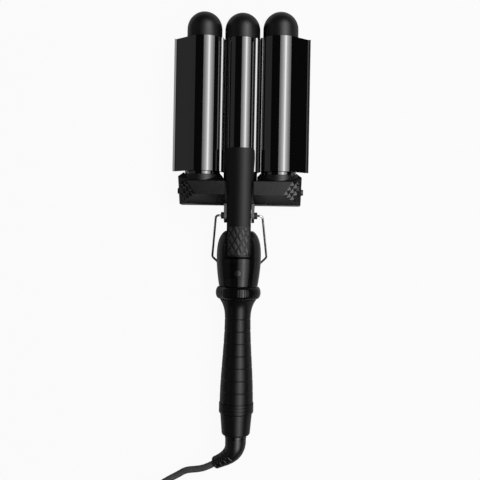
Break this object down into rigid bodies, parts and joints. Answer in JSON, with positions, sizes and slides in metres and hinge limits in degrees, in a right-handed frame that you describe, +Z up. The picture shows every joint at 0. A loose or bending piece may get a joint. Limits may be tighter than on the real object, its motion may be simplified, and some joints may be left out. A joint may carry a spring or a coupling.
{
  "type": "hair waver",
  "caption": "Hair waver with parallel glossy barrels on a cross block, a lever-worked jaw with wing covers, a bulb handle with dial and wire stand, and a swivel cord.",
  "frame": {"origin": "on the surface it lies on, below the middle of the tool without its cord", "axes": "+X to the tool's right seen from its lever side, +Y from the butt end to the barrel tips, +Z up towards the lever"},
  "size_m": [0.1664, 0.5394, 0.041],
  "materials": {
    "grip_black": "satin moulded black",
    "gloss_black": "high gloss black",
    "panel_black": "smoked gloss window",
    "inner_grey": "plain moulded",
    "circuit_board": "green solder mask",
    "matte_black": "fine matte black",
    "pad_black": "diamond-cut grip",
    "steel": "plain rolled",
    "polished_steel": "bright",
    "black_steel": "black oxide",
    "tip_black": "satin heat-proof black",
    "barrel_coating": "gloss black ceramic coating",
    "bare_aluminium": "extruded",
    "heater_ceramic": "unglazed white",
    "sensor_glass": "glass bead in a sleeve",
    "cord_sleeve": "satin moulded",
    "cord_jacket": "matte jacket",
    "tie_fabric": "woven hook and loop strap",
    "plug_brass": "bright"
  },
  "bodies": {
    "handle": {"grip_front": "grip_black", "grip_rear": "grip_black", "grip_band": "gloss_black", "butt_cap": "grip_black", "spine": "inner_grey", "power_board": "circuit_board", "housing_front": "gloss_black", "housing_rear": "gloss_black", "control_panel": "panel_black", "display_module": "inner_grey", "control_board": "circuit_board", "neck_tube": "matte_black", "hinge_bracket": "steel", "hinge_pin": "polished_steel", "hinge_bosses": "polished_steel", "lever_spring": "steel", "block_front": "matte_black", "block_rear": "matte_black", "side_screws": "black_steel", "block_screws": "black_steel", "bracket_screws": "steel", "housing_screws": "black_steel", "grip_screws": "black_steel", "collar_left": "tip_black", "collar_right": "tip_black", "barrel_left": "barrel_coating", "barrel_right": "barrel_coating", "tip_left": "tip_black", "tip_right": "tip_black", "heater_holder_left": "bare_aluminium", "heater_holder_right": "bare_aluminium", "heater_plate_left": "heater_ceramic", "heater_plate_right": "heater_ceramic", "temperature_sensor": "sensor_glass", "thermal_fuse": "heater_ceramic"},
    "lever": {"lever_shell": "matte_black", "lever_cover": "matte_black", "thumb_pad": "pad_black", "lever_screws": "black_steel", "jaw_foot": "tip_black", "jaw_extrusion": "barrel_coating", "tip_centre": "tip_black", "heater_holder_centre": "bare_aluminium", "heater_plate_centre": "heater_ceramic"},
    "dial": {"temperature_dial": "gloss_black"},
    "button": {"power_button": "panel_black"},
    "stand": {"wire_stand": "polished_steel"},
    "cord": {"swivel_ball": "gloss_black", "strain_relief": "cord_sleeve", "mains_cord": "cord_jacket", "cord_coil": "cord_jacket", "coil_tie": "tie_fabric", "cord_tail": "cord_jacket", "plug_body": "cord_sleeve", "plug_blades": "plug_brass"}
  },
  "joints": [
    {"name": "lever_pivot", "type": "hinge", "parent": "handle", "child": "lever", "pos_m": [0, 0.0083, 0.0305], "axis": [1, 0, 0], "range_deg": [0, 12], "stiffness_Nm_per_rad": 0.5, "springref_deg": -28.65, "deforming": ["lever_spring"]},
    {"name": "dial_turn", "type": "hinge", "parent": "handle", "child": "dial", "pos_m": [0, -0.06145, 0.0205], "axis": [0, 1, 0], "range_deg": [-135, 135]},
    {"name": "button_press", "type": "slide", "parent": "handle", "child": "button", "axis": [0, 0, -1], "range_m": [0, 0.0008], "stiffness_N_per_m": 1000, "springref_m": -0.0005},
    {"name": "stand_pivot", "type": "hinge", "parent": "handle", "child": "stand", "pos_m": [0, 0.0083, 0.0305], "axis": [1, 0, 0], "range_deg": [0, 75]},
    {"name": "cord_swivel", "type": "hinge", "parent": "handle", "child": "cord", "pos_m": [0, -0.1936, 0.0205], "axis": [0, 1, 0], "continuous": true}
  ]
}
